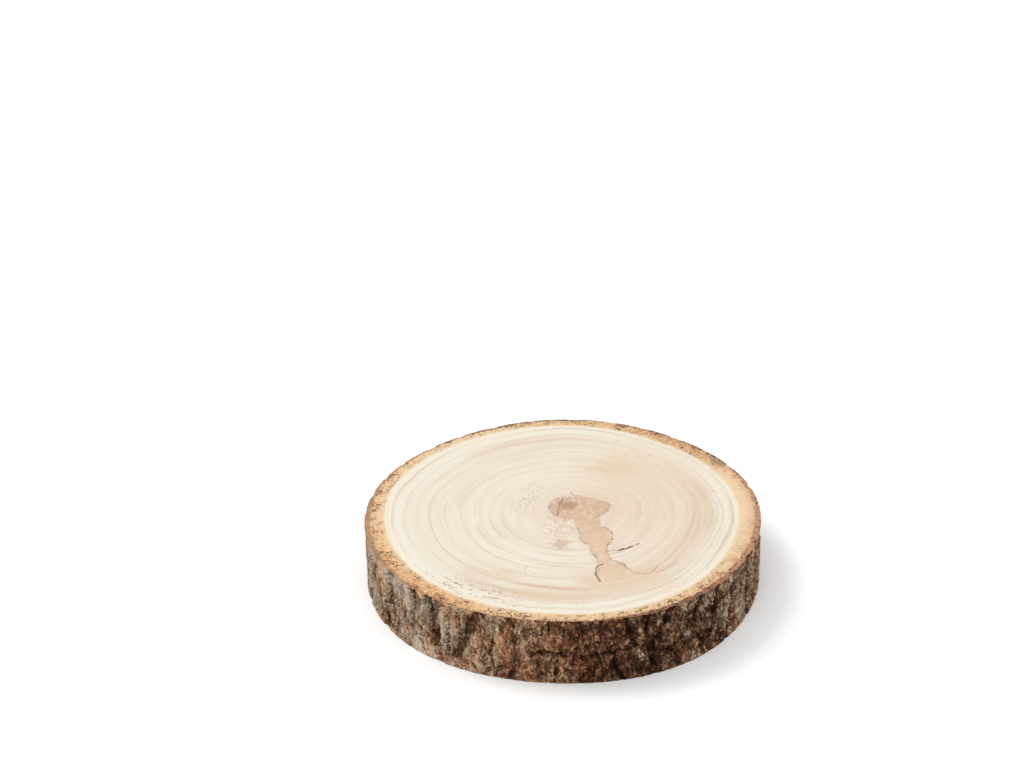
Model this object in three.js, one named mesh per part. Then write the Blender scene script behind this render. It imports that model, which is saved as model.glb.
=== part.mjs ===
// Wood slice: a flat round sawn straight across a small tree trunk, with its bark left on.
// Everything is in millimetres. +Z is up, the underside lies on z = 0, and the middle of
// the slice's bounding box stands over the origin. Angles run from +X towards +Y.
import * as THREE from 'three';

// Driving dimensions
const MEAN_DIAMETER = 200;
const THICKNESS = 35;

// The trunk wasn't quite upright when it was sawn: its middle at the underside lies this
// far along +X from its middle at the top face.
const LEAN = 0.7;

// A trunk isn't a true circle. Each lobe pattern adds this share of the radius at its
// bulges, "count" bulges evenly round the trunk, the first of them at "towards" degrees.
const LOBES = [
  { count: 2, share: 0.0139, towards: 43.8 },
  { count: 3, share: 0.0064, towards: -46.2 },
  { count: 4, share: 0.0027, towards: 18.5 },
  { count: 5, share: 0.0052, towards: 14.7 },
];

// Long furrows run up the bark between broad ridges. Each passes through a few places, from
// the top down, given as an angle in degrees and a height.
const FURROWS = [
  { width: 6, depth: 2, places: [[-157, 35], [-160, 22], [-165, 0]] },
  { width: 7, depth: 2.3, places: [[-147, 35], [-149, 15], [-150.5, 0]] },
  { width: 8, depth: 2.3, places: [[-131, 35], [-129, 15], [-128, 0]] },
  { width: 6.5, depth: 2.1, places: [[-115.5, 35], [-119, 20], [-122, 8]] },
  { width: 4, depth: 1.9, places: [[-74, 35], [-71, 18]] },
  { width: 4.5, depth: 1.9, places: [[-60, 35], [-66, 16], [-65, 0]] },
  { width: 5, depth: 1.5, places: [[-50, 35], [-52, 20]] },
  { width: 4.5, depth: 1.8, places: [[-42.5, 35], [-43, 24], [-46, 4]] },
  { width: 4.5, depth: 2, places: [[-33.5, 35], [-34.5, 20], [-38, 0]] },
  { width: 5, depth: 2, places: [[-24, 35], [-23, 8], [-24, 0]] },
  { width: 4.5, depth: 1.7, places: [[-15.4, 35], [-14, 0]] },
  { width: 5, depth: 1.6, places: [[-4, 35], [-7, 0]] },
  { width: 4, depth: 1.4, places: [[6, 35], [8, 10]] },
  { width: 7, depth: 2.1, places: [[17, 35], [15, 0]] },
  { width: 6, depth: 1.9, places: [[29, 35], [32, 0]] },
  { width: 4, depth: 1.4, places: [[41, 35], [40, 14]] },
  { width: 8, depth: 2.2, places: [[52, 35], [49, 0]] },
  { width: 5, depth: 1.7, places: [[64, 35], [66, 0]] },
  { width: 6, depth: 2, places: [[74, 35], [72, 7]] },
  { width: 7, depth: 2.1, places: [[86, 35], [83, 0]] },
  { width: 4, depth: 1.5, places: [[99, 35], [97, 14]] },
  { width: 8, depth: 2.2, places: [[111, 35], [112, 0]] },
  { width: 5, depth: 1.8, places: [[123, 35], [120, 0]] },
  { width: 6, depth: 2, places: [[135, 35], [137, 0]] },
  { width: 4, depth: 2.2, places: [[148, 35], [146, 0]] },
  { width: 6, depth: 1.8, places: [[158, 35], [160, 7]] },
  { width: 7, depth: 2.1, places: [[168, 35], [166, 0]] },
  { width: 5, depth: 1.8, places: [[177, 35], [175, 0]] },
];

// A furrow is shallower at the sawn edges: this share of its depth is left at the edge, and
// the whole of it this far inside. One that ends in the bark fades out over FADE.
const EDGE_SHARE = 0.3;
const EDGE_BAND = 6;
const FADE = 4;

// Facets round the bark, and bands up it
const AROUND = 380;
const BANDS = 7;

// Distance from the trunk's middle to the tops of the bark ridges at one angle
function ridgeRadius(angle) {
  let radius = MEAN_DIAMETER / 2;
  for (const lobe of LOBES) {
    const turn = angle - THREE.MathUtils.degToRad(lobe.towards);
    radius += lobe.share * (MEAN_DIAMETER / 2) * Math.cos(lobe.count * turn);
  }
  return radius;
}

// The angle of a furrow at one height, on the straight lines between its places
function furrowAngle(places, height) {
  let below = 1;
  while (below < places.length - 1 && places[below][1] > height) {
    below += 1;
  }
  const [startAngle, startHeight] = places[below - 1];
  const [endAngle, endHeight] = places[below];
  const share = THREE.MathUtils.clamp((startHeight - height) / (startHeight - endHeight), 0, 1);
  return THREE.MathUtils.degToRad(THREE.MathUtils.lerp(startAngle, endAngle, share));
}

// How far the bark is sunk below its ridge tops at one angle and height
function furrowSink(angle, height) {
  const inside = Math.min(height, THICKNESS - height);
  const edge = THREE.MathUtils.lerp(EDGE_SHARE, 1, THREE.MathUtils.smoothstep(inside, 0, EDGE_BAND));
  let sink = 0;
  for (const furrow of FURROWS) {
    const end = furrow.places[furrow.places.length - 1][1];
    const fade = end > 0 ? THREE.MathUtils.smoothstep(height, end - FADE / 2, end + FADE / 2) : 1;
    const turn = angle - furrowAngle(furrow.places, height);
    const away = Math.abs(Math.atan2(Math.sin(turn), Math.cos(turn))) * (MEAN_DIAMETER / 2);
    const across = 1 - THREE.MathUtils.smoothstep(away, 0.1 * furrow.width, 0.6 * furrow.width);
    sink = Math.max(sink, furrow.depth * across * fade * edge);
  }
  return sink;
}

// Start from a closed drum of radius 1 and move every point out to the bark's own radius.
// The points in the middle of both flat faces have radius 0 and stay where they are.
const shape = new THREE.CylinderGeometry(1, 1, THICKNESS, AROUND, BANDS);
shape.rotateX(Math.PI / 2);
shape.translate(0, 0, THICKNESS / 2);
const points = shape.getAttribute('position');
for (let i = 0; i < points.count; i += 1) {
  const x = points.getX(i);
  const y = points.getY(i);
  const angle = Math.atan2(y, x);
  const height = points.getZ(i);
  const radius = ridgeRadius(angle) - furrowSink(angle, height);
  points.setX(i, radius * x + LEAN * (1 - height / THICKNESS));
  points.setY(i, radius * y);
}

// Stand the middle of the bounding box over the origin.
shape.computeBoundingBox();
const box = shape.boundingBox;
shape.translate(-(box.min.x + box.max.x) / 2, -(box.min.y + box.max.y) / 2, 0);
shape.computeVertexNormals();

const slice = new THREE.Mesh(
  shape,
  new THREE.MeshStandardMaterial({ color: 0xe2cfae, roughness: 0.8, metalness: 0 }),
);
slice.name = 'wood_slice';

const part = new THREE.Group();
part.name = 'part';
part.add(slice);

export default part;
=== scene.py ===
# %% [markdown]
# # A slice of a small trunk
#
# A saw went twice through a small tree, and what fell out between the cuts is one piece of
# wood: two flat faces with growth rings on them, and a rough band of bark between. This
# lesson starts from the plain solid that carries the size and the mass, and makes the
# piece that is looked at: bark with real relief, sawn faces with rings, stain and cracks.
#
# Blender counts in metres. A pattern is easier to think of in millimetres, so places are
# turned into millimetres before any pattern is made on them.

# %% Load the plain solid
import math

import bpy
import numpy as np
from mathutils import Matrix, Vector


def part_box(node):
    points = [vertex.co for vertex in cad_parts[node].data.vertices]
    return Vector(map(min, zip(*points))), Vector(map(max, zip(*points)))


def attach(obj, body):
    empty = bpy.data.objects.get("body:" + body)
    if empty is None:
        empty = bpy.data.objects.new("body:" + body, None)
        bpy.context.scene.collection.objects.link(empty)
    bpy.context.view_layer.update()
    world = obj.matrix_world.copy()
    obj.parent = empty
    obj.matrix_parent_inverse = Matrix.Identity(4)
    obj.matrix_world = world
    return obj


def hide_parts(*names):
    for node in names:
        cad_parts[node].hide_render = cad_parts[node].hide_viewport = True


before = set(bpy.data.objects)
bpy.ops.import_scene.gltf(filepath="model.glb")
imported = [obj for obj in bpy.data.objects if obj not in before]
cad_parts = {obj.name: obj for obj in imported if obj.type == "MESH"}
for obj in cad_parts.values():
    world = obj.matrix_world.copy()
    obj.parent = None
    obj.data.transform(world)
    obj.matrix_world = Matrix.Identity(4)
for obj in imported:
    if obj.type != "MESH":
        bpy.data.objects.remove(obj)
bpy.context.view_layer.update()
low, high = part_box("wood_slice")
MM = 0.001
THICK = (high.z - low.z) / MM
MEAN_RADIUS = 100.0
print("plain solid", [round(side / MM, 1) for side in high - low], "mm")

# %% [markdown]
# ## Writing node maths as sums
#
# A pattern is a long chain of small sums, and a chain of Math nodes wired one by one is
# hard to read. So one small class stands for the output of a node. Adding or multiplying
# two of them adds the Math node that does it, and a plain number works as well.
# The same class serves the geometry tree that shapes the bark and the shader trees that
# colour it, because both kinds of tree have the Math node.


# %% A bench for nodes, and the flow of numbers between them
class Bench:
    """A node tree to build on."""

    def __init__(self, tree):
        self.tree = tree

    def node(self, kind, settings=None, sockets=None):
        """Adds a node. Settings come first, because they can change which sockets it has."""
        node = self.tree.nodes.new(kind)
        for name, value in (settings or {}).items():
            if name == "stops":
                lay_stops(node.color_ramp, value)
            else:
                setattr(node, name, value)
        for key, value in (sockets or {}).items():
            if isinstance(value, Flow):
                self.tree.links.new(value.socket, node.inputs[key])
            else:
                node.inputs[key].default_value = value
        return node

    def flow(self, kind, settings=None, sockets=None, out=0):
        """Adds a node and returns one of its outputs."""
        return Flow(self, self.node(kind, settings, sockets).outputs[out])


class Flow:
    """One output of a node. Sums on it add Math nodes to its bench."""

    def __init__(self, bench, socket):
        self.bench = bench
        self.socket = socket

    def maths(self, operation, *others):
        """The result of a Math node that works on this flow and the others."""
        sockets = dict(enumerate((self, *others)))
        return self.bench.flow("ShaderNodeMath", {"operation": operation}, sockets)

    def length(self):
        """How long a flow of three numbers is."""
        return self.bench.flow("ShaderNodeVectorMath", {"operation": "LENGTH"}, {0: self}, "Value")

    def __add__(self, other):
        return self.maths("ADD", other)

    def __sub__(self, other):
        return self.maths("SUBTRACT", other)

    def __mul__(self, other):
        return self.maths("MULTIPLY", other)

    def __truediv__(self, other):
        return self.maths("DIVIDE", other)

    def __neg__(self):
        return self * -1

    def __abs__(self):
        return self.maths("ABSOLUTE")

    def __rsub__(self, other):
        return -self + other

    __radd__ = __add__
    __rmul__ = __mul__


def lay_stops(ramp, stops):
    """Fills a colour ramp with (place, colour or grey) stops."""
    while len(ramp.elements) < len(stops):
        ramp.elements.new(1)
    for element, (place, colour) in zip(ramp.elements, stops):
        element.position = place
        element.color = colour if isinstance(colour, tuple) else (colour, colour, colour, 1)


print("made", Bench.__name__, "and", Flow.__name__)

# %% [markdown]
# ## Small tools for patterns
#
# Nearly every pattern here is made with a few tools. A rise turns a measure into a mask
# with a soft edge. A cloud is smooth noise with lumps of a known size. Creases are the thin
# lines where a cloud crosses its middle value, and they curl and fork as real cracks do.
# In each tree every noise has a seed of its own, so that no pattern follows another.

# %% Tools for patterns


def cosine(angle):
    """Cosine of a plain number or of a flow."""
    return angle.maths("COSINE") if isinstance(angle, Flow) else math.cos(angle)


def swell(angle, lobes):
    """A sum of cosines: each lobe has a number of bulges, a height and a direction."""
    total = 0
    for count, height, towards in lobes:
        total = cosine((angle - math.radians(towards)) * count) * height + total
    return total


def rise(value, start, end):
    """0 before start and 1 past end, with a smooth step between. It falls if end is less."""
    if end < start:
        return 1 - rise(value, end, start)
    sockets = {0: value, 1: start, 2: end}
    return value.bench.flow("ShaderNodeMapRange", {"interpolation_type": "SMOOTHSTEP"}, sockets)


def bump_at(value, middle, half_width):
    """1 at the middle, down to 0 at half_width on both sides of it."""
    return rise(abs(value - middle), half_width, 0)


def stretched(place, x, y, z):
    """A place with each axis multiplied by its own number."""
    return place.bench.flow(
        "ShaderNodeVectorMath", {"operation": "MULTIPLY"}, {0: place, 1: (x, y, z)}
    )


def cloud(place, size, seed, detail=2.0, rough=0.5, twist=0.0):
    """Smooth noise from 0 to 1, with lumps about "size" across. A twist curls them."""
    sockets = {
        "Vector": place, "W": seed, "Scale": 1 / size, "Detail": detail, "Roughness": rough,
        "Distortion": twist,
    }
    return place.bench.flow("ShaderNodeTexNoise", {"noise_dimensions": "4D"}, sockets)


def shoved(place, size, amount, seed):
    """A place pushed about by smooth noise, by up to half of "amount" each way."""
    sockets = {"Vector": place, "W": seed, "Scale": 1 / size, "Detail": 3.0}
    noise = place.bench.flow("ShaderNodeTexNoise", {"noise_dimensions": "4D"}, sockets, 1)
    push = place.bench.flow(
        "ShaderNodeVectorMath", {"operation": "SUBTRACT"}, {0: noise, 1: (0.5, 0.5, 0.5)}
    )
    settings = {"operation": "MULTIPLY_ADD"}
    return place.bench.flow("ShaderNodeVectorMath", settings, {0: push, 1: (amount,) * 3, 2: place})


def cell_borders(place, size, seed):
    """The distance to the nearest border between cells about "size" across."""
    settings = {"voronoi_dimensions": "4D", "feature": "DISTANCE_TO_EDGE"}
    sockets = {"Vector": place, "W": seed, "Scale": 1 / size}
    return place.bench.flow("ShaderNodeTexVoronoi", settings, sockets)


def creased(place, size, seed, width):
    """Curly creases, 1 on them and 0 between, where twisted noise crosses its middle value."""
    folds = cloud(place, size, seed, detail=4, rough=0.6, twist=0.8)
    return rise(abs(folds - 0.5), width, width * 0.2)


def towards_side(angle, towards, half_width):
    """1 in a direction from the trunk's middle, in degrees, falling to 0 half_width away."""
    facing = cosine(angle - math.radians(towards))
    return rise(facing, math.cos(math.radians(half_width)), 1)


print("two swellings add up to", round(swell(0.0, [(2, 1.0, 0), (3, 0.5, 20)]), 2), "mm")

# %% [markdown]
# ## How round the trunk is
#
# A trunk is never a true circle. Its outline is a circle with a few gentle swellings added,
# each with its own number of bulges. The plain solid was made by the same rule, so the
# numbers are the same here. Because the sums work on numbers and on node outputs alike,
# one function gives the outline to Python, to the shape and to the colours.
#
# The trunk leaned a little when it was sawn, and the middle of its box stands over the
# origin. The last lines find where that leaves the middle of the trunk.

# %% The outline rule
LOBES = [(2, 1.39, 43.8), (3, 0.64, -46.2), (4, 0.27, 18.5), (5, 0.52, 14.7)]
LEAN = 0.7


def outline(angle):
    """Millimetres from the trunk's middle to the ridges of its bark."""
    return swell(angle, LOBES) + MEAN_RADIUS


rim = []
for degree in range(360):
    turn = math.radians(degree)
    for shift in (0, LEAN):
        rim.append((outline(turn) * math.cos(turn) + shift, outline(turn) * math.sin(turn)))
rim = np.array(rim)
MIDDLE_X, MIDDLE_Y = (float(side) for side in -(rim.min(0) + rim.max(0)) / 2)
print("middle of the top face", round(MIDDLE_X, 2), round(MIDDLE_Y, 2), "mm")

# %% [markdown]
# ## The camera and the light first
#
# The slice is looked at from a standing height over a table, with a long lens, so its near
# and far edges hardly differ in scale. The table is white and lit from all round. One large
# soft lamp on the left gives the bark its shading, and a weak one in front fills it in.

# %% Camera
LOOK_DOWN = math.radians(27.65)
AIM = Vector((-26.2 + MIDDLE_X, 208.8 + MIDDLE_Y, 0)) * MM
AWAY = 1.428
camera_data = bpy.data.cameras.new("camera")
camera_data.lens = 85
camera_data.sensor_width = 36
camera = bpy.data.objects.new("camera", camera_data)
sight = Vector((0, math.cos(LOOK_DOWN), -math.sin(LOOK_DOWN)))
camera.location = AIM - sight * AWAY
camera.rotation_euler = (math.pi / 2 - LOOK_DOWN, 0, 0)
bpy.context.scene.collection.objects.link(camera)
bpy.context.scene.camera = camera
print("camera", AWAY, "m from", [round(side / MM) for side in AIM], "mm")

# %% Lamps and table


def lamp(name, place, size, watts):
    """A square soft lamp that faces the slice."""
    data = bpy.data.lights.new(name, "AREA")
    data.size = size
    data.energy = watts
    lamp_object = bpy.data.objects.new(name, data)
    lamp_object.location = place
    lamp_object.rotation_euler = (-Vector(place)).to_track_quat("-Z", "Y").to_euler()
    bpy.context.scene.collection.objects.link(lamp_object)


lamp("window_left", (-1.15, 0.45, 1.9), 1.0, 19)
lamp("front_fill", (-0.5, -1.7, 0.8), 1.0, 8)

world = bpy.data.worlds.new("white_room")
bpy.context.scene.world = world
world.use_nodes = True
sky = world.node_tree.nodes["Background"]
sky.inputs["Color"].default_value = (1, 1, 1, 1)
sky.inputs["Strength"].default_value = 1.0
bpy.context.scene.view_settings.view_transform = "Standard"

TABLE = 4.0
WHITE = (0.90, 0.90, 0.90, 1)
table_mesh = bpy.data.meshes.new("table")
corners = [(-TABLE, -TABLE, 0), (TABLE, -TABLE, 0), (TABLE, TABLE, 0), (-TABLE, TABLE, 0)]
table_mesh.from_pydata(corners, [], [(0, 1, 2, 3)])
table = bpy.data.objects.new("table", table_mesh)
bpy.context.scene.collection.objects.link(table)
table_paint = bpy.data.materials.new("white_table")
table_paint.use_nodes = True
table_shader = table_paint.node_tree.nodes["Principled BSDF"]
table_shader.inputs["Base Color"].default_value = WHITE
table_shader.inputs["Roughness"].default_value = 0.9
table_mesh.materials.append(table_paint)
print("table", 2 * TABLE, "m wide, lamps", [lamp_data.name for lamp_data in bpy.data.lights])

# %% [markdown]
# ## Where the bark is furrowed
#
# As a trunk grows, its bark tears into long furrows with ridges between. They could be
# left to a noise pattern, but a furrow has a start, a lean and a width of its own, and the
# plain solid carries the same broad ones. So each is a line drawn on the trunk through a
# few places, with a width and a depth. Thin cracks are lines as well, only narrower. The
# lines become an object of bare edges, which the geometry tree measures distances to.

# %% The furrow lines
# The heights in both lists are those of a slice this thick, in mm.
DRAWN_THICK = 35
# One degree round the bark, in mm
DEGREE_LENGTH = 1.75
# width, depth in mm, then places: direction in degrees, height in mm
FURROWS = [
    (6, 2.0, (-157, 35), (-160, 22), (-165, 0)), (7, 2.3, (-147, 35), (-149, 15), (-150.5, 0)),
    (8, 2.3, (-131, 35), (-129, 15), (-128, 0)), (6.5, 2.1, (-115.5, 35), (-119, 20), (-122, 8)),
    (4, 1.9, (-74, 35), (-71, 18)), (4.5, 1.9, (-60, 35), (-66, 16), (-65, 0)),
    (5, 1.5, (-50, 35), (-52, 20)), (4.5, 1.8, (-42.5, 35), (-43, 24), (-46, 4)),
    (4.5, 2.0, (-33.5, 35), (-34.5, 20), (-38, 0)), (5, 2.0, (-24, 35), (-23, 8), (-24, 0)),
    (4.5, 1.7, (-15.4, 35), (-14, 0)), (5, 1.6, (-4, 35), (-7, 0)), (4, 1.4, (6, 35), (8, 10)),
    (7, 2.1, (17, 35), (15, 0)), (6, 1.9, (29, 35), (32, 0)), (4, 1.4, (41, 35), (40, 14)),
    (8, 2.2, (52, 35), (49, 0)), (5, 1.7, (64, 35), (66, 0)), (6, 2.0, (74, 35), (72, 7)),
    (7, 2.1, (86, 35), (83, 0)), (4, 1.5, (99, 35), (97, 14)), (8, 2.2, (111, 35), (112, 0)),
    (5, 1.8, (123, 35), (120, 0)), (6, 2.0, (135, 35), (137, 0)), (4, 2.2, (148, 35), (146, 0)),
    (6, 1.8, (158, 35), (160, 7)), (7, 2.1, (168, 35), (166, 0)), (5, 1.8, (177, 35), (175, 0)),
]
CRACKS = [
    (3, 0.7, (-106, 35), (-104.5, 18), (-106, 0)), (2.4, 0.7, (-86.5, 35), (-84.5, 16), (-87, 0)),
    (2.2, 1.5, (-136, 35), (-137.8, 12), (-134, 6)), (1.4, 1.6, (-95.3, 35), (-95.3, 27)),
    (2.8, 1.6, (-100, 15), (-96, 17.5), (-91, 16)), (2.8, 1.7, (-86, 14.5), (-79, 16), (-71, 17.5)),
    (3, 1.4, (-77, 12), (-75, 0)), (2, 1.3, (-58, 8), (-52, 12.5), (-46, 13)),
    (1.8, 1.2, (-110, 30), (-112, 14), (-110, 0)), (1.6, 1.2, (-141, 34), (-142, 18)),
    (1.6, 1.2, (-124, 30), (-125, 6)), (1.6, 1.0, (-93, 13), (-94, 0)), (1.8, 1.2, (-67, 35), (-68, 24)),
    (1.6, 1.2, (-28, 32), (-29, 12)), (1.8, 1.3, (58, 30), (60, 4)), (1.6, 1.2, (105, 33), (104, 10)),
]


def draw_lines(lines):
    """An object of edges along the lines, with each one's width and depth on its points."""
    points, edges, widths, depths = [], [], [], []
    for width, depth, *places in lines:
        for (start, start_up), (end, end_up) in zip(places, places[1:]):
            steps = max(3, round(math.hypot((end - start) * DEGREE_LENGTH, end_up - start_up)))
            for step in range(steps + 1):
                turn = math.radians(start + (end - start) * step / steps)
                level = (start_up + (end_up - start_up) * step / steps) * THICK / DRAWN_THICK
                out = outline(turn)
                points.append((out * math.cos(turn), out * math.sin(turn), level))
                widths.append(width)
                depths.append(depth)
                if step:
                    edges.append((len(points) - 2, len(points) - 1))
    mesh = bpy.data.meshes.new("furrow_lines")
    mesh.from_pydata(points, edges, [])
    for name, values in (("width", widths), ("depth", depths)):
        mesh.attributes.new(name, "FLOAT", "POINT").data.foreach_set("value", values)
    line_object = bpy.data.objects.new("furrow_lines", mesh)
    bpy.context.scene.collection.objects.link(line_object)
    return line_object


furrow_lines = draw_lines(FURROWS + CRACKS)
print(len(FURROWS), "furrows and", len(CRACKS), "cracks")

# %% [markdown]
# ## Shaping the trunk with Geometry Nodes
#
# The slice follows a rule all the way round: a drum, pushed out to the outline and sunk
# where the bark is furrowed, cracked and flaked. That is a job for a geometry tree, where
# every point of a fine drum gets the same sum, and the sizes stay as named inputs. The
# tree also writes down how deep each point of the bark lies, because dirt and shade gather
# in the deep places and the bark's colour has to follow its shape.

# %% The relief of the bark
SEED = 3.0
# how far the highest flakes stand out past the outline, in mm
RAISED = 0.5
SIZES = [
    ("Facets Around", "NodeSocketInt", 1080),
    ("Bands Up", "NodeSocketInt", 56),
    ("Face Rings", "NodeSocketInt", 12),
    ("Thickness", "NodeSocketFloat", THICK),
    ("Lean", "NodeSocketFloat", LEAN),
    ("Furrow Depth", "NodeSocketFloat", 1.0),
    ("Flake Depth", "NodeSocketFloat", 1.3),
    ("Crack Depth", "NodeSocketFloat", 0.9),
    ("Seed", "NodeSocketFloat", SEED),
    ("Furrow Lines", "NodeSocketObject", furrow_lines),
]


def nearest_furrow(skin, given):
    """How far a place is from the nearest furrow line, in half widths, and its depth."""
    bench = skin.bench
    lines = bench.flow("GeometryNodeObjectInfo", None, {"Object": given["Furrow Lines"]}, "Geometry")
    where = {0: lines, "Sample Position": skin}
    near = bench.flow("GeometryNodeProximity", {"target_element": "EDGES"}, where, "Distance")
    which = bench.flow("GeometryNodeSampleNearest", {"domain": "POINT"}, where)

    def of_nearest(name):
        """The width or depth written on the nearest furrow."""
        named = bench.flow("GeometryNodeInputNamedAttribute", {"data_type": "FLOAT"}, {"Name": name})
        settings = {"data_type": "FLOAT", "domain": "POINT"}
        return bench.flow("GeometryNodeSampleIndex", settings, {0: lines, 1: named, "Index": which})

    ragged = cloud(stretched(skin, 1, 1, 0.7), 2.6, given["Seed"], detail=5, rough=0.7) - 0.5
    return near / (of_nearest("width") * 0.5) + ragged * 3.4, of_nearest("depth")


def flaky(skin, seed):
    """How high the flakes of the bark lie, 0 to 1, the gaps between its knobs, its tears."""
    layers = cloud(stretched(skin, 1, 1, 0.55), 5.0, seed + 1, detail=4, rough=0.58, twist=0.6)
    flake = rise(layers, 0.36, 0.41) * 0.5 + rise(layers, 0.49, 0.53) * 0.5
    edge = bump_at(layers, 0.37, 0.03).maths("MAXIMUM", bump_at(layers, 0.495, 0.025))
    crumb = rise(cloud(stretched(skin, 1, 1, 0.55), 1.7, seed + 2, detail=2, rough=0.6), 0.30, 0.70)
    shape = stretched(shoved(skin, 2.2, 3.0, seed + 3), 1, 1, 0.75)
    gap = rise(cell_borders(shape, 3.0, seed + 4), 0.14, 0.02)
    return flake * 0.78 + crumb * 0.22, gap, tears(skin, seed, 0.03).maths("MAXIMUM", edge * 0.8)


def tears(skin, seed, width):
    """Long and short cracks, 1 on them and 0 between, in some parts of the bark."""
    long_ones = creased(stretched(skin, 1, 1, 0.4), 4.2, seed + 5, width)
    short_ones = creased(stretched(skin, 1, 1, 0.8), 2.4, seed + 7, width)
    torn = long_ones.maths("MAXIMUM", short_ones * 0.65)
    return torn * rise(cloud(stretched(skin, 1, 1, 0.5), 9.0, seed + 8), 0.40, 0.54)


def knobbly_side(angle):
    """1 on the side where the bark is cracked into knobs, and little where it is smoother."""
    return rise(cosine(angle - math.radians(-35)), 0.2, 0.8) * 0.8 + 0.2


print(len(SIZES), "inputs:", ", ".join(name for name, _, _ in SIZES))

# %% [markdown]
# ### Moving the points
#
# The drum has a radius and a height of 1, so its own coordinates are shares of the slice.
# The tree works out where each point belongs in millimetres, writes the depths of the bark
# on it and then moves it there. The wood is set on the whole slice first and the bark after
# it, on the side only.

# %% The trunk tree


def trunk_tree(wood, bark):
    """The geometry tree, and the identifier of each of its inputs."""
    tree = bpy.data.node_groups.new("trunk_slice", "GeometryNodeTree")
    sockets = {}
    for name, kind, _ in SIZES:
        sockets[name] = tree.interface.new_socket(name, in_out="INPUT", socket_type=kind)
    tree.interface.new_socket("Slice", in_out="OUTPUT", socket_type="NodeSocketGeometry")
    bench = Bench(tree)
    inputs = bench.node("NodeGroupInput")
    given = {name: Flow(bench, inputs.outputs[name]) for name in sockets}

    drum = bench.node("GeometryNodeMeshCylinder", {"fill_type": "TRIANGLE_FAN"}, {
        "Vertices": given["Facets Around"], "Side Segments": given["Bands Up"],
        "Fill Segments": given["Face Rings"], "Radius": 1.0, "Depth": 1.0,
    })
    place = bench.node("ShaderNodeSeparateXYZ", None, {0: bench.flow("GeometryNodeInputPosition")})
    x, y = Flow(bench, place.outputs[0]), Flow(bench, place.outputs[1])
    up = Flow(bench, place.outputs[2]) + 0.5
    angle = y.maths("ARCTAN2", x)
    share = (x * x + y * y).maths("SQRT")
    radius = outline(angle)
    height = up * given["Thickness"]
    flat_x, flat_y = angle.maths("COSINE") * radius, angle.maths("SINE") * radius
    skin = bench.flow("ShaderNodeCombineXYZ", None, {0: flat_x, 1: flat_y, 2: height})

    across, depth = nearest_furrow(skin, given)
    furrow = rise(across, 0.98, 0.62)
    tops, gap, tear = flaky(skin, given["Seed"])
    knobbly = (knobbly_side(angle) + furrow * 0.6).maths("MINIMUM", 1)
    crack = (gap * knobbly).maths("MAXIMUM", tear)
    # The relief is less near the sawn edges, and small chips are missing from them.
    from_rim = height.maths("MINIMUM", given["Thickness"] - height)
    settled = rise(from_rim, -2.5, 6.0)
    sunk = furrow * depth * given["Furrow Depth"] * (settled + 0.05)
    sunk = sunk + ((1 - tops) * given["Flake Depth"] + crack * given["Crack Depth"]) * settled
    chip = rise(from_rim, 0.7, 0) * cloud(skin, 2.0, given["Seed"] + 6, detail=2) * 0.5
    sunk = sunk + chip - RAISED

    # The rings of points on the flat faces crowd towards the bark.
    spread = 1 - (1 - share) * (1 - share)
    reach = spread * (radius - sunk)
    away = given["Lean"] * (1 - up) + MIDDLE_X
    moved = bench.flow("ShaderNodeCombineXYZ", None, {
        0: (angle.maths("COSINE") * reach + away) * MM,
        1: (angle.maths("SINE") * reach + MIDDLE_Y) * MM,
        2: height * MM,
    })

    shape = Flow(bench, drum.outputs["Mesh"])
    measures = [("furrow", furrow * (depth * 0.6).maths("MINIMUM", 1)), ("tops", tops), ("crack", crack)]
    for name, value in measures:
        settings = {"data_type": "FLOAT", "domain": "POINT"}
        written = {0: shape, "Name": name, "Value": value}
        shape = bench.flow("GeometryNodeStoreNamedAttribute", settings, written)
    side = Flow(bench, drum.outputs["Side"])
    shape = bench.flow("GeometryNodeSetShadeSmooth", None, {0: shape, "Selection": side})
    at_rim = share.maths("GREATER_THAN", 0.999) * abs(up - 0.5).maths("GREATER_THAN", 0.499)
    shape = bench.flow("GeometryNodeSetShadeSmooth", {"domain": "EDGE"},
                       {0: shape, "Selection": at_rim, "Shade Smooth": False})
    shape = bench.flow("GeometryNodeSetPosition", None, {0: shape, "Position": moved})
    shape = bench.flow("GeometryNodeRealizeInstances", None, {0: shape})
    shape = bench.flow("GeometryNodeSetMaterial", None, {0: shape, "Material": wood})
    shape = bench.flow("GeometryNodeSetMaterial", None, {0: shape, "Selection": side, "Material": bark})
    bench.node("NodeGroupOutput", None, {0: shape})
    return tree, {name: socket.identifier for name, socket in sockets.items()}


# %% [markdown]
# ## Colours and masks
#
# The wood and the bark are both painted in layers: a ground colour, then stains and lines
# laid over it, each through a mask that says where it shows. A mask is a number from 0 to
# 1, so masks are made by sums, and only the colours go through Mix nodes.

# %% Colour helpers
# the share of the light that a painted colour returns, under lamps this bright
RETURNED = 0.735


def paint(red, green, blue):
    """A colour as seen on a screen, from 0 to 255, as the light that the surface returns."""
    seen = np.array([red, green, blue]) / 255
    linear = np.where(seen > 0.04045, ((seen + 0.055) / 1.055) ** 2.4, seen / 12.92)
    return (*(float(part) * RETURNED for part in linear), 1)


def over(mask, below, above):
    """The colour above laid over the one below, where the mask is 1."""
    return mask.bench.flow("ShaderNodeMix", {"data_type": "RGBA"}, {0: mask, 6: below, 7: above}, 2)


def shade_by(colour, factor):
    """A colour made lighter or darker by a number."""
    return factor.bench.flow("ShaderNodeVectorMath", {"operation": "SCALE"}, {0: colour, "Scale": factor})


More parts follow.
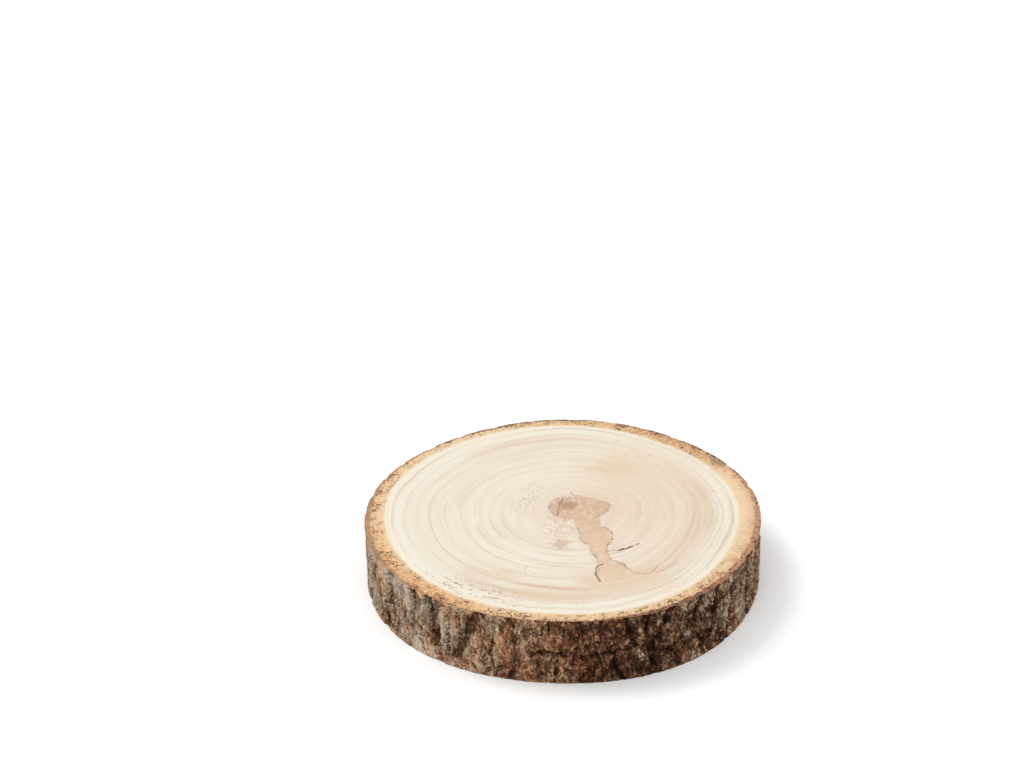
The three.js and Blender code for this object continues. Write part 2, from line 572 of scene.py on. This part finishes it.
def wood_place(bench, x, y):
    """The place on the wood in millimetres, measured from the trunk's middle, and x, y, z."""
    coordinates = bench.flow("ShaderNodeTexCoord", None, None, "Object")
    sockets = {"Vector": coordinates, "Scale": (1 / MM, 1 / MM, 1 / MM), "Location": (-x, -y, 0)}
    place = bench.flow("ShaderNodeMapping", None, sockets)
    parts = bench.node("ShaderNodeSeparateXYZ", None, {0: place}).outputs
    return place, Flow(bench, parts[0]), Flow(bench, parts[1]), Flow(bench, parts[2])


def new_material(name):
    """An empty material, its bench and its surface shader."""
    material = bpy.data.materials.new(name)
    material.use_nodes = True
    bench = Bench(material.node_tree)
    return material, bench, material.node_tree.nodes["Principled BSDF"]


def finish_surface(bench, shader, colour, roughness, height, depth, shine):
    """Wires a colour, a roughness and a bump of the given depth in metres, and a shine."""
    bump = bench.flow("ShaderNodeBump", None, {"Strength": 1.0, "Distance": depth, "Height": height})
    links = bench.tree.links
    links.new(colour.socket, shader.inputs["Base Color"])
    links.new(roughness.socket, shader.inputs["Roughness"])
    links.new(bump.socket, shader.inputs["Normal"])
    shader.inputs["Specular IOR Level"].default_value = shine


print("fresh wood returns", [round(part, 2) for part in paint(240, 229, 209)[:3]])

# %% [markdown]
# ## The sawn face
#
# Everything on a sawn face is arranged round the heart of the tree, which is hardly ever
# in the middle. So the pattern needs its own measure: how far out a place lies on the way
# from the heart to the newest ring, 0 to 1. A ring is then one value of that measure all
# the way round, wide where the tree grew fast and narrow where it didn't. Outside the
# newest ring come the inner bark, the pale spongy layer that carries sap, and then the
# cork. Both are measured inwards from the outline, because that is how they grow.

# %% Layers of the trunk
# swellings of each layer's width: number of bulges, height in mm, direction
INNER_BARK_DEPTH = [(1, 1.09, -35), (2, 1.89, 15), (3, 0.77, -33)]
CORK_DEPTH = [(1, 0.49, -50), (2, 0.78, -15), (3, 0.48, -37), (4, 0.24, 16)]
# how far the newest ring and the cork lie inside the outline, on average
WOOD_INSIDE, CORK_INSIDE = 8.6, 1.6
HEART_X, HEART_Y = 7.0, 2.0


class Face:
    """The measures that every pattern on a sawn face is made from."""

    def __init__(self, bench):
        self.bench = bench
        self.place, self.x, self.y, _ = wood_place(bench, MIDDLE_X, MIDDLE_Y)
        self.angle = self.y.maths("ARCTAN2", self.x)
        self.out = (self.x * self.x + self.y * self.y).maths("SQRT").maths("MAXIMUM", 0.01)
        self.mottle = cloud(self.place, 2.6, 15.0, detail=4, rough=0.6)
        wander = cloud(self.place, 5.0, 1.0, detail=5, rough=0.6) - 0.5
        bark_edge = outline(self.angle)
        wood_edge = bark_edge - (swell(self.angle, INNER_BARK_DEPTH) + WOOD_INSIDE)
        self.in_wood = wood_edge - self.out + wander * 2.2
        chipped = cloud(self.place, 2.6, 36.0, detail=4, rough=0.65) - 0.5
        cork_edge = bark_edge - (swell(self.angle, CORK_DEPTH) + CORK_INSIDE)
        self.in_cork = self.out - cork_edge + wander * 3.0 + chipped * 6.0
        self.share = self.from_heart(wood_edge)
        self.shoved = stretched(shoved(self.place, 2.6, 2.6, 7.0), 1, 1, 0)

    def from_heart(self, wood_edge):
        """0 at the heart and 1 at the newest ring, with the unsteadiness of real rings."""
        x, y = self.x - HEART_X, self.y - HEART_Y
        distance = (x * x + y * y).maths("SQRT").maths("MAXIMUM", 0.01)
        along = (x * HEART_X + y * HEART_Y) / distance
        off = HEART_X * HEART_X + HEART_Y * HEART_Y
        whole = (wood_edge * wood_edge - off + along * along).maths("SQRT") - along
        share = distance / whole
        slow = (cloud(self.place, 60.0, 2.0) - 0.5) * 0.10 * share
        return share + slow + (cloud(self.place, 9.0, 3.0) - 0.5) * 0.010

    def along_rings(self, across, along):
        """A place for noise that is drawn out along the rings. The numbers are its scales."""
        turn_x, turn_y = self.x / self.out * along, self.y / self.out * along
        sockets = {0: self.share * across, 1: turn_x, 2: turn_y}
        return self.bench.flow("ShaderNodeCombineXYZ", None, sockets)

    def along_rays(self, around, out):
        """A place for noise that is drawn out from the heart to the bark."""
        turn_x, turn_y = self.x / self.out * around, self.y / self.out * around
        sockets = {0: turn_x, 1: turn_y, 2: self.out * out}
        return self.bench.flow("ShaderNodeCombineXYZ", None, sockets)

    def window(self, towards, half_width):
        """1 in a direction from the middle, in degrees, falling to 0 half_width away."""
        return towards_side(self.angle, towards, half_width)

    def blot(self, x, y, wide, tall):
        """0 at the middle of an ellipse and 1 at its edge."""
        from_middle = self.bench.flow("ShaderNodeVectorMath", {"operation": "SUBTRACT"},
                                      {0: self.shoved, 1: (x, y, 0)})
        return stretched(from_middle, 1 / wide, 1 / tall, 0).length()

    def line(self, points):
        """Millimetres to the nearest place on a line through the points."""
        nearest = None
        for (x, y), (end_x, end_y) in zip(points, points[1:]):
            run = end_x - x, end_y - y
            square = run[0] ** 2 + run[1] ** 2
            offset = self.bench.flow("ShaderNodeVectorMath", {"operation": "SUBTRACT"},
                                     {0: self.shoved, 1: (x, y, 0)})
            along = self.bench.flow("ShaderNodeVectorMath", {"operation": "DOT_PRODUCT"},
                                    {0: offset, 1: (run[0] / square, run[1] / square, 0)}, "Value")
            along = along.maths("MINIMUM", 1).maths("MAXIMUM", 0)
            foot = self.bench.flow("ShaderNodeVectorMath", {"operation": "SCALE"},
                                   {0: (*run, 0), "Scale": along})
            gap = self.bench.flow("ShaderNodeVectorMath", {"operation": "DISTANCE"},
                                  {0: offset, 1: foot}, "Value")
            nearest = gap if nearest is None else nearest.maths("MINIMUM", gap)
        return nearest


print("heart of the tree", HEART_X, HEART_Y, "mm from the trunk's middle")

# %% [markdown]
# ## Rings
#
# A ring is a year. Wood laid down in spring is pale and open, it closes up and darkens
# through the summer, and the next spring starts pale again with a sharp edge. A ramp turns
# the measure from the heart into years, so each year can have its own width. Pale wood
# shows its rings badly: a ring is clear for a hand's width and then lost, which a noise
# drawn out along the rings takes care of, and finer threads run between them.

# %% Growth rings
RING_SHARES = [
    0.08, 0.16, 0.232, 0.273, 0.32, 0.40, 0.455, 0.535, 0.605, 0.687, 0.765, 0.83, 0.895, 0.962,
]


def grow_rings(face, colour):
    """Lays the rings over a colour. Returns the new colour and where the lines are."""
    bench = face.bench
    years = len(RING_SHARES)
    stops = [(0, 0.0)] + [(share, (i + 1) / years) for i, share in enumerate(RING_SHARES)]
    age = bench.flow("ShaderNodeValToRGB", {"stops": stops}, {0: face.share}) * years
    season = age.maths("FRACT")
    each = bench.flow("ShaderNodeTexWhiteNoise", {"noise_dimensions": "1D"}, {"W": age.maths("FLOOR")})
    clear = rise(cloud(face.along_rings(11, 1.6), 1.0, 4.0, detail=2), 0.44, 0.64)
    line = rise(season, 0.88, 0.97) * rise(season, 1.0, 0.99) * (clear * 0.8 + 0.2) * (each * 0.5 + 0.5)
    late = rise(season, 0.3, 1.0) * rise(cloud(face.along_rings(8, 1.2), 1.0, 5.0), 0.4, 0.6)
    thread = rise(cloud(face.along_rings(100, 2.4), 1.0, 6.0, detail=3, rough=0.6), 0.52, 0.74)
    broad = cloud(face.along_rings(34, 1.3), 1.0, 9.0, detail=3)
    busy = face.window(-30, 100) * 0.6 + 0.4
    colour = over(rise(broad, 0.50, 0.70) * 0.45 * busy, colour, paint(222, 200, 176))
    colour = over(rise(broad, 0.48, 0.34) * 0.35, colour, paint(248, 242, 227))
    colour = over(late * 0.22, colour, paint(224, 204, 180))
    colour = over(thread * 0.45 * busy, colour, paint(204, 178, 154))
    colour = over(line * 0.62, colour, paint(178, 160, 148))
    return colour, line


print(len(RING_SHARES), "years from the heart to the bark")

# %% [markdown]
# ## Stains and blots
#
# Sap and fungus stain a slice as it dries. Some of it follows the rings, as pink-brown
# arcs that fade at both ends. Some spreads from the heart in a flat blot with a thin dark
# border where it stopped. A blot is several ellipses melted together, on places that noise
# has shoved about, so that its border wanders as a real one does.

# %% Stain
# arcs: from share, to share, direction, half width in degrees, strength, colour
ARCS = [
    (0.68, 0.85, -12, 66, 0.70, (226, 196, 168)), (0.56, 0.84, -50, 40, 0.70, (232, 205, 178)),
    (0.62, 0.82, -70, 22, 0.70, (231, 200, 170)), (0.79, 0.90, 100, 40, 0.85, (230, 203, 180)),
    (0.42, 0.66, 66, 22, 0.60, (230, 208, 182)), (0.75, 0.79, -97, 19, 0.90, (210, 160, 140)),
    (0.66, 0.88, -125, 13, 0.60, (226, 203, 174)), (0.78, 0.86, 20, 12, 0.60, (220, 180, 164)),
    (0.55, 0.80, 140, 50, 0.35, (228, 210, 188)), (0.70, 0.75, -20, 56, 0.40, (210, 176, 152)),
    (0.81, 0.89, -100, 36, 0.85, (220, 190, 166)), (0.20, 0.46, -150, 80, 0.30, (230, 208, 188)),
    (0.835, 0.865, -30, 60, 0.30, (214, 182, 160)),
]
# blots: middle x, y, half width, half height
STAIN = [
    (7.8, 6.2, 14.6, 11.6), (17.5, 8.5, 6.4, 5.2), (12.0, -8, 6.4, 10), (12.0, -18, 5.2, 11),
    (18.0, -21.5, 6.2, 9.5), (16.6, -32, 4.4, 9), (18.6, -42, 3.2, 8), (20.6, -50, 4.6, 8.5),
    (25.2, -50.5, 4.6, 4.6), (22, -57, 6.5, 5),
]
# faint washes of the same tan, further from the heart
WASHES = [
    (33, -64, 28, 14), (-29, -58, 10, 6), (30, 50, 14, 14), (42, 22, 40, 60), (-10, -75, 30, 9),
]


def lay_arcs(face, colour):
    """Lays the pink-brown arcs, which follow the rings, over a colour."""
    streaks = cloud(face.along_rings(42, 1.5), 1.0, 11.0, detail=4, rough=0.6)
    for start, end, towards, half, strength, tint in ARCS:
        arc = bump_at(face.share, (start + end) / 2, (end - start) * 0.68) * face.window(towards, half)
        colour = over(arc * rise(streaks, 0.30, 0.66) * strength, colour, paint(*tint))
    return colour


def lay_blot(face, colour):
    """Lays the tan blot over a colour, with its halo, the faint washes and its dark border."""
    edge = face.blot(*STAIN[0])
    for blot in STAIN[1:]:
        edge = edge.maths("SMOOTH_MIN", face.blot(*blot), 0.30)
    edge = edge + (cloud(face.place, 1.3, 14.0, detail=3, rough=0.6) - 0.5) * 0.30
    halo = rise(edge, 2.0, 1.0) * rise(face.mottle, 0.3, 0.6)
    colour = over(halo * 0.40, colour, paint(230, 205, 182))
    for wash in WASHES:
        spread = rise(face.blot(*wash) + (face.mottle - 0.5) * 1.6, 1.2, 0.4)
        colour = over(spread * 0.4, colour, paint(232, 203, 170))

    lower = rise(face.y, 2, -30)
    tan = over(lower, paint(217, 184, 155), paint(226, 195, 164))
    tan = over(rise(face.mottle, 0.52, 0.64) * 0.6, tan, paint(238, 213, 188))
    tan = over(rise(face.mottle, 0.48, 0.36) * 0.5 * (1 - lower), tan, paint(200, 162, 134))
    faded = rise(face.y, -62, -50)
    inside = rise(edge, 1.04, 0.96) * (faded * 0.7 + 0.3)
    colour = over(inside * 0.92, colour, tan)
    broken = rise(cloud(face.place, 2.0, 16.0, detail=3), 0.42, 0.58)
    border = bump_at(edge, 0.98, 0.14) * broken * (lower * 0.5 + 0.4)
    return over(border * faded * 0.85, colour, paint(164, 122, 94))


print(len(ARCS), "arcs,", len(STAIN), "parts of the blot and", len(WASHES), "washes")

# %% [markdown]
# ## The heart
#
# Next to the heart the wood is oldest and the stain is most broken. There is a crescent of
# short rays, three spots, a pale froth of torn fibres, and a few fine cracks where the
# slice dried from the middle outwards. Of these marks only the cracks are sunk. Their dark
# brown is partly the wood's own and partly painted shade inside them.

# %% Marks and fine cracks
# marks at and near the heart: middle x, y, half width, half height
CRESCENT = (3.0, 7.4, 9.6, 10.4)
DARK_SPOT = (2.2, 8.8, 6.0, 5.4)
TAN_SPOT = (-1.8, -28.6, 5.6, 5.0)
FROTH = (-3, -12, 10, 13)
PALE_SPOT = (25.2, -42.6, 2.2, 2.2)
# lines: strength, width in mm, points
LINES = [
    (1.20, 0.80, [(26, -35.2), (29.5, -33.6), (33, -31.4)]),
    (0.60, 0.75, [(33, -31.4), (36.8, -28.6)]),
    (0.45, 0.40, [(20.7, -35.7), (26, -35.2)]),
    (0.30, 0.45, [(22, -38), (27, -36.8), (33, -32)]),
    (0.80, 0.55, [(18.3, -47.3), (15.6, -49.4), (15, -53), (15, -59.5), (16.4, -63.4)]),
    (0.38, 0.50, [
        (24, -44.2), (26.2, -45.8), (29.4, -50), (33.4, -54.8), (38, -56.8), (42, -54.8), (45.4, -49.4),
    ]),
    (0.25, 0.45, [(44, -54.8), (49, -52), (54.8, -45.4)]),
    (0.42, 0.60, [(0, 16), (-1.8, 9), (-3.5, -1.5)]),
    (0.50, 0.45, [(4.2, 22), (5.8, 18.6), (9, 18.6)]),
    (0.28, 0.70, [(-2, 17), (-6.2, 12.5), (-7.2, 5), (-4.5, -2)]),
]


def lay_heart_marks(face, colour):
    """Lays the rayed crescent, the spots and the pale froth round the heart over a colour."""
    spoke = cloud(face.along_rays(60, 0.1), 1.0, 17.0, detail=2)
    spoke = spoke * 0.6 + face.mottle * 0.4
    crescent = bump_at(face.blot(*CRESCENT), 0.85, 0.45) * rise(face.x, 6, -2)
    colour = over(crescent * rise(spoke, 0.42, 0.55) * 0.85, colour, paint(196, 150, 122))
    colour = over(crescent * rise(spoke, 0.56, 0.50) * 0.30, colour, paint(244, 220, 200))
    dark_spot = rise(face.blot(*DARK_SPOT) + (spoke - 0.5) * 2.0, 1.1, 0.5)
    colour = over(dark_spot * 0.85, colour, paint(186, 146, 116))
    tan_spot = rise(face.blot(*TAN_SPOT) + (face.mottle - 0.5) * 2.4, 1.15, 0.4)
    colour = over(tan_spot * 0.75, colour, paint(210, 178, 150))
    froth = rise(face.blot(*FROTH), 1.1, 0.5)
    bubbles = cloud(face.place, 2.0, 18.0, detail=3, rough=0.7)
    colour = over(froth * rise(bubbles, 0.49, 0.42) * 0.65, colour, paint(212, 178, 156))
    colour = over(froth * rise(bubbles, 0.55, 0.62) * 0.70, colour, paint(252, 243, 230))
    return over(rise(face.blot(*PALE_SPOT), 1.0, 0.5) * 0.8, colour, paint(250, 226, 208))


def lay_lines(face, colour):
    """Lays the fine cracks, dark partly with painted shade, over a colour. Returns the new colour and the
    cracks.
    """
    lines = 0
    for strength, width, points in LINES:
        lines = rise(face.line(points), width, width * 0.35) * strength + lines
    lines = lines.maths("MINIMUM", 1) * rise(cloud(face.place, 1.5, 19.0, detail=2), 0.24, 0.46)
    return over(lines, colour, paint(120, 80, 58)), lines


print(len(LINES), "fine cracks")

# %% [markdown]
# ## Specks
#
# A saw leaves short dark dashes where it tore the wood or dragged dirt across it. They lie
# along the rings and crowd together in a few parts of the face. So they are the highest
# peaks of a noise drawn out along the rings, and in a crowded part the peaks start lower.

# %% Specks
# specks: share, direction, half width in degrees, how many, colour
SPECKS = [
    (0.91, -122, 32, 0.16, (168, 122, 98)), (0.93, -60, 60, 0.08, (196, 150, 124)),
    (0.86, -5, 50, 0.08, (196, 150, 126)), (0.30, 140, 60, 0.13, (150, 124, 106)),
    (0.62, -112, 20, 0.10, (170, 140, 118)), (0.84, 80, 60, 0.07, (196, 156, 128)),
]


def speckle(face, colour):
    """Sprinkles short dark dashes over a colour, thick in some parts of the face."""
    dashes = cloud(face.along_rings(80, 26), 1.0, 23.0, detail=2, rough=0.7)
    for share, towards, half, amount, tint in SPECKS:
        thick = bump_at(face.share, share, 0.20) * face.window(towards, half)
        dots = rise(dashes - (0.77 - thick * (amount + 0.06)), 0, 0.04)
        colour = over(dots * 0.8, colour, paint(*tint))
    return colour


print(len(SPECKS), "crowds of specks")

# %% [markdown]
# ## From the heart out to the cork
#
# The material is the layers from the inside out: wood, inner bark, cork. The inner bark
# is torn into fine rays with dark specks between them, most of all where the saw dragged.

# %% Sawn wood
# inner bark: direction, half width in degrees, colour
INNER_BARK = [
    (-175, 60, (240, 200, 156)), (-148, 30, (240, 196, 144)), (-120, 45, (226, 180, 130)),
    (-85, 40, (234, 200, 158)), (-30, 26, (236, 200, 156)), (8, 50, (242, 211, 172)),
    (32, 24, (244, 210, 168)), (62, 40, (214, 168, 120)), (95, 40, (228, 188, 140)),
    (125, 40, (236, 206, 166)),
]


def inner_bark(face):
    """The colour of the spongy layer between the wood and the cork, its rays and specks."""
    colour = paint(232, 192, 146)
    ray = cloud(face.along_rays(80, 0.35), 1.0, 25.0, detail=3, rough=0.6)
    speck = cloud(face.place, 0.95, 26.0, detail=2, rough=0.7)
    crowd = cloud(face.place, 7.0, 27.0, detail=2)
    for towards, half, tint in INNER_BARK:
        colour = over(face.window(towards, half), colour, paint(*tint))
    rough_side = 1 - face.window(-2, 46) * 0.85
    outer = rise(face.in_wood, -2.5, -8.5)
    colour = over(outer * (crowd * 0.8 + 0.1), colour, paint(206, 150, 98))
    colour = over(rise(ray, 0.48, 0.64) * 0.55, colour, paint(250, 220, 178))
    colour = over(rise(ray, 0.48, 0.36) * 0.60 * rough_side, colour, paint(190, 138, 88))
    dots = rise(speck + crowd * 0.8 + outer * 0.06, 0.98, 1.04) * rough_side
    colour = over(dots * 0.85, colour, paint(118, 72, 44))
    return over(rise(face.in_wood, -2.5, -0.2) * 0.6, colour, paint(244, 222, 182)), ray, dots


def sawn_wood():
    """The material of both sawn faces, from the heart out to the cork."""
    material, bench, shader = new_material("sawn_wood")
    face = Face(bench)
    ground = bench.flow("ShaderNodeValToRGB", {"stops": [
        (0.0, paint(236, 219, 196)), (0.3, paint(240, 229, 209)), (0.6, paint(240, 230, 211)),
        (0.84, paint(238, 228, 209)), (0.93, paint(244, 236, 219)), (1.0, paint(245, 234, 212)),
    ]}, {0: face.share})
    wood, line = grow_rings(face, ground)
    wood = lay_heart_marks(face, lay_blot(face, lay_arcs(face, wood)))
    wood, dark_lines = lay_lines(face, wood)
    wood = speckle(face, wood)
    pores = cloud(face.place, 1.0, 22.0, detail=2, rough=0.7)
    wood = shade_by(wood, pores * 0.12 + 0.94)

    inner, ray, dots = inner_bark(face)
    crust = cloud(face.place, 1.8, 28.0, detail=3, rough=0.6)
    tan_side = face.window(-170, 80)
    cork = over(rise(crust, 0.40, 0.58), paint(78, 44, 26), paint(166, 108, 70))
    cork = over(face.window(-48, 46) * rise(crust, 0.46, 0.60) * 0.7, cork, paint(166, 96, 64))
    cork = over(face.window(-6, 44) * rise(crust, 0.34, 0.48) * 0.85, cork, paint(196, 146, 112))
    cork = over(tan_side * rise(crust, 0.30, 0.45) * 0.85, cork, paint(186, 146, 104))
    colour = over(rise(face.in_wood, -0.3, 0.3), inner, wood)
    colour = over(rise(face.in_cork, -0.4, 0.4) * 0.9, colour, cork)
    torn = (ray * 0.6 - dots) * rise(face.in_wood, 0.3, -0.3)
    height = pores * 0.4 + torn - line * 0.3 - dark_lines * 3
    finish_surface(bench, shader, colour, line * -0.05 + 0.66, height, 0.15 * MM, 0.3)
    return material


wood_material = sawn_wood()
print(wood_material.name, "has", len(wood_material.node_tree.nodes), "nodes")

# %% [markdown]
# ## The bark
#
# Dead bark is brown where it is fresh, grey where rain and sun have had it, and almost
# black down in the cracks, where dirt stays and shade falls; that darkening is partly dirt
# and partly painted shade. So its colour starts from the depths that the geometry tree
# wrote down, and noises of three sizes break it up: grit under a millimetre, crumbs of two,
# and patches as wide as a fingertip. Cracks too thin for the shape to carry are drawn here,
# by the same rule that tore the larger ones, and darkened with painted shade. The mood of
# the bark changes round the trunk: weathered on one side, rusty or dark on another, and raw
# red in a few places where a flake came off lately. How light it is round the trunk is partly
# painted light: lighter on the lamp's side on the left, with painted shade on the front right.

# %% The moods of the bark, with painted light
# direction, half width in degrees, and how light, grey and red the bark is there;
# how light is partly painted light and shade: lighter on the lamp's side, darker on the front right
BARK_MOODS_AND_PAINTED_LIGHT = [
    (-165, 46, 0.25, 0.60, 0.1), (-138, 40, 0.07, 0.70, 0.2), (-112, 24, 0.09, 0.1, 0.7),
    (-92, 24, -0.10, 0.0, 0.8), (-64, 36, -0.23, 0.5, 0.0), (-36, 24, 0.05, 0.35, 0.3),
    (-18, 26, 0.06, 0.3, 0.3), (0, 26, 0.10, 0.1, 0.8), (60, 50, 0.0, 0.5, 0.3),
    (130, 50, 0.05, 0.5, 0.4),
]
# raw red patches: direction, height, half width, half height in mm
RAW_PATCHES = [
    (-79, 22, 3.2, 7), (-63.6, 25, 2.8, 6), (-74.5, 14, 3.0, 3.5), (-61, 32, 3.5, 3),
    (-127, 3, 4, 3), (-93, 23, 7, 4), (-56, 5, 3, 4),
]


def mood_and_painted_light_of(angle):
    """How light, how grey and how red the bark is in a direction; its lightness is partly painted light
    and shade.
    """
    light, grey, red = 0, 0, 0
    for towards, half, lighter, greyer, redder in BARK_MOODS_AND_PAINTED_LIGHT:
        side = towards_side(angle, towards, half)
        light, grey, red = side * lighter + light, side * greyer + grey, side * redder + red
    return light, grey, red


def raw_share(angle, z, patch):
    """1 in the raw red patches, whose borders follow the noise called patch, and 0 outside."""
    raw = 0
    for towards, level, half, tall in RAW_PATCHES:
        aside = (angle - math.radians(towards)) * (MEAN_RADIUS / half)
        above = (z - level) / tall
        raw = rise(aside * aside + above * above + (patch - 0.5) * 2.5, 1.1, 0.5) + raw
    return raw.maths("MINIMUM", 1)


print(len(BARK_MOODS_AND_PAINTED_LIGHT), "moods and", len(RAW_PATCHES), "raw patches")

# %% [markdown]
# ### One tone for all of it
#
# Depths, noises and mood are added up in one number, the tone. Ramps turn the tone into a
# brown, a grey, a rusty and a raw red bark, and masks choose between the four. The same
# noises, seams and splits go into the bump, so that what is darker also lies deeper. The
# dark in the deep places is partly dirt and partly painted shade, and the light on the high
# flakes is partly painted light.

# %% The bark


def bark_ramp(tone, stops):
    """A ramp of painted colours over the tone of the bark, from dirt to the lightest flake."""
    painted = [(place, paint(*colour)) for place, colour in stops]
    return tone.bench.flow("ShaderNodeValToRGB", {"stops": painted}, {0: tone})


def furrowed_bark():
    """The material of the bark, coloured by how deep each place lies."""
    material, bench, shader = new_material("bark")
    place, x, y, z = wood_place(bench, MIDDLE_X, MIDDLE_Y)
    angle = y.maths("ARCTAN2", x)
    furrow, tops, crack = (
        bench.flow("ShaderNodeAttribute", {"attribute_name": name}, None, "Fac")
        for name in ("furrow", "tops", "crack")
    )
    light, grey, red = mood_and_painted_light_of(angle)

    grit = cloud(stretched(place, 1, 1, 0.5), 0.9, 31.0, detail=2, rough=0.7)
    crumb = cloud(stretched(place, 1, 1, 0.55), 2.2, 32.0, detail=4, rough=0.66, twist=0.8)
    patch = cloud(stretched(place, 1, 1, 0.6), 8.0, 33.0, detail=4, rough=0.6)
    busy = rise(cloud(stretched(place, 1, 1, 0.6), 6.0, 35.0, detail=3), 0.40, 0.56)
    pits = rise(crumb, 0.47, 0.38) * (busy * 0.8 + 0.2)
    split = tears(place, SEED, 0.022)
    wide_seam = creased(stretched(place, 1, 1, 0.6), 5.0, 37.0, 0.032)
    fine_seam = creased(stretched(place, 1, 1, 0.8), 2.8, 38.0, 0.040)
    seam = wide_seam * (busy * 0.3 + 0.3) + fine_seam * (busy * 0.4 + 0.1)

    # The bark is smoother in one direction, so its noises count for less there.
    calm = rise(cosine(angle - math.radians(-94)), 0.70, 0.95)
    # Painted light and shade in the tone: high flakes and the lamp's side lighter; pits, seams, cracks
    # and furrows darker, partly dirt and partly painted shade.
    tone = (tops - 0.5) * 0.38 + (grit - 0.5) * (0.68 - calm * 0.3)
    tone = tone + (patch - 0.5) * (1.4 - calm * 0.7) + light + 1.04
    tone = tone - pits * 0.24 - seam * (0.70 - calm * 0.22)
    tone = tone - crack.maths("MAXIMUM", split) * 0.48 - furrow * 0.34

    brown = bark_ramp(tone, [
        (0.0, (34, 17, 5)), (0.25, (72, 43, 24)), (0.5, (116, 78, 50)), (0.75, (164, 121, 87)),
        (1.0, (216, 177, 142)),
    ])
    pale = bark_ramp(tone, [
        (0.0, (40, 23, 10)), (0.3, (84, 60, 41)), (0.6, (144, 117, 92)), (1.0, (218, 198, 174)),
    ])
    russet = bark_ramp(tone, [(0.0, (48, 20, 8)), (0.5, (134, 82, 54)), (1.0, (208, 150, 112))])
    raw = bark_ramp(tone + 0.12, [(0.0, (46, 18, 8)), (0.5, (150, 90, 68)), (1.0, (218, 156, 130))])
    colour = over(rise(patch, 0.40, 0.56) * grey, brown, pale)
    blush = rise(cloud(stretched(place, 1, 1, 0.7), 6.0, 34.0, detail=4), 0.46, 0.60)
    colour = over(blush * (red * 0.7 + 0.1), colour, russet)
    colour = over(raw_share(angle, z, patch) * 0.6, colour, raw)
    height = grit * 0.35 + crumb * 0.8 + tops - split * 1.5 - seam * 1.4
    finish_surface(bench, shader, colour, grit * 0.1 + 0.85, height, 0.7 * MM, 0.1)
    return material


bark_material = furrowed_bark()
print(bark_material.name, "has", len(bark_material.node_tree.nodes), "nodes")

# %% [markdown]
# ## Growing the piece
#
# The tree runs as a modifier on an empty mesh. Its inputs are set by their identifiers,
# which stay the same when a name is changed. When it has run, the result is kept as a
# plain mesh and the modifier and the furrow lines go, so that nothing hidden is left for
# someone who takes the piece into another file. A new mesh starts with one empty material
# slot, which goes too.

# %% Grow the slice


def settle(piece):
    """Turns what the modifiers make into a plain mesh, and takes the modifiers off."""
    graph = bpy.context.evaluated_depsgraph_get()
    mesh = bpy.data.meshes.new_from_object(
        piece.evaluated_get(graph), preserve_all_data_layers=True, depsgraph=graph
    )
    piece.modifiers.clear()
    piece.data = mesh
    return mesh


tree, identifiers = trunk_tree(wood_material, bark_material)
log_slice = bpy.data.objects.new("log_slice", bpy.data.meshes.new("log_slice"))
bpy.context.scene.collection.objects.link(log_slice)
grower = log_slice.modifiers.new("trunk", "NODES")
grower.node_group = tree
for name, _, value in SIZES:
    grower[identifiers[name]] = value
slice_mesh = settle(log_slice)
slice_mesh.materials.pop(index=0)
bpy.data.objects.remove(furrow_lines)
slice_mesh.calc_loop_triangles()
print(len(slice_mesh.loop_triangles), "triangles,", len(slice_mesh.materials), "materials")

# %% [markdown]
# ## A flat map of the skin
#
# Programs that can't run node patterns need the colours as a flat picture of the skin, so
# every corner of the mesh gets a place on a square. The two faces are discs, and the top
# gets the most room, because it has the finest pattern. The bark is a long band, cut in
# two strips so that it isn't squeezed. Corners are placed by how far they are turned from
# the middle of their own face, so that no face is torn where the angle starts again.

# %% The flat map
# the middles and radii of the two discs on the square, which is 1 wide and 1 high
TOP_MIDDLE, TOP_RADIUS = (0.355, 0.355), 0.345
UNDER_MIDDLE, UNDER_RADIUS = (0.85, 0.2), 0.14
# the lower and upper edge of each strip of bark
STRIPS = np.array([(0.725, 0.85), (0.865, 0.99)])
STRIP_MARGIN = 0.01
# the radius of the slice that fills a disc, in metres
REACH = 0.103


def lay_flat(mesh):
    """Writes a place on the square for every corner: two discs and two strips of bark."""
    vertex = np.empty(len(mesh.loops), dtype=np.int32)
    mesh.loops.foreach_get("vertex_index", vertex)
    places = np.empty(len(mesh.vertices) * 3)
    mesh.vertices.foreach_get("co", places)
    x, y, z = places.reshape(-1, 3)[vertex].T
    corners = np.empty(len(mesh.polygons), dtype=np.int32)
    mesh.polygons.foreach_get("loop_total", corners)
    face = np.repeat(np.arange(len(corners)), corners)
    middle = [np.bincount(face, part) / corners for part in (x, y, z)]

    start = np.arctan2(middle[1], middle[0])[face] % (2 * np.pi)
    turned = (np.arctan2(y, x) - start + np.pi) % (2 * np.pi) - np.pi
    half = (start > np.pi).astype(int)
    low_edge, high_edge = STRIPS[half].T
    across = STRIP_MARGIN + (1 - 2 * STRIP_MARGIN) * ((start + turned) / np.pi - half)
    flat = np.stack([across, low_edge + (high_edge - low_edge) * z / (THICK * MM)], 1)

    bark_face = np.empty(len(corners), dtype=np.int32)
    mesh.polygons.foreach_get("material_index", bark_face)
    is_face = bark_face[face] == 0
    for (u, v), size, mirror, above in (
        (TOP_MIDDLE, TOP_RADIUS / REACH, 1, True),
        (UNDER_MIDDLE, UNDER_RADIUS / REACH, -1, False),
    ):
        here = is_face & ((middle[2][face] > THICK * MM / 2) == above)
        flat[here] = np.stack([u + mirror * x[here] * size, v + y[here] * size], 1)
    mesh.uv_layers.new(name="OFBake").data.foreach_set("uv", flat.ravel())
    return flat


flat = lay_flat(slice_mesh)
print("flat map from", flat.min(0).round(3), "to", flat.max(0).round(3))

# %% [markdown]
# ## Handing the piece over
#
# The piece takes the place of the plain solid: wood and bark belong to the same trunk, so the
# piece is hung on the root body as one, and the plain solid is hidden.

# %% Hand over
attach(log_slice, "root")
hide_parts("wood_slice")
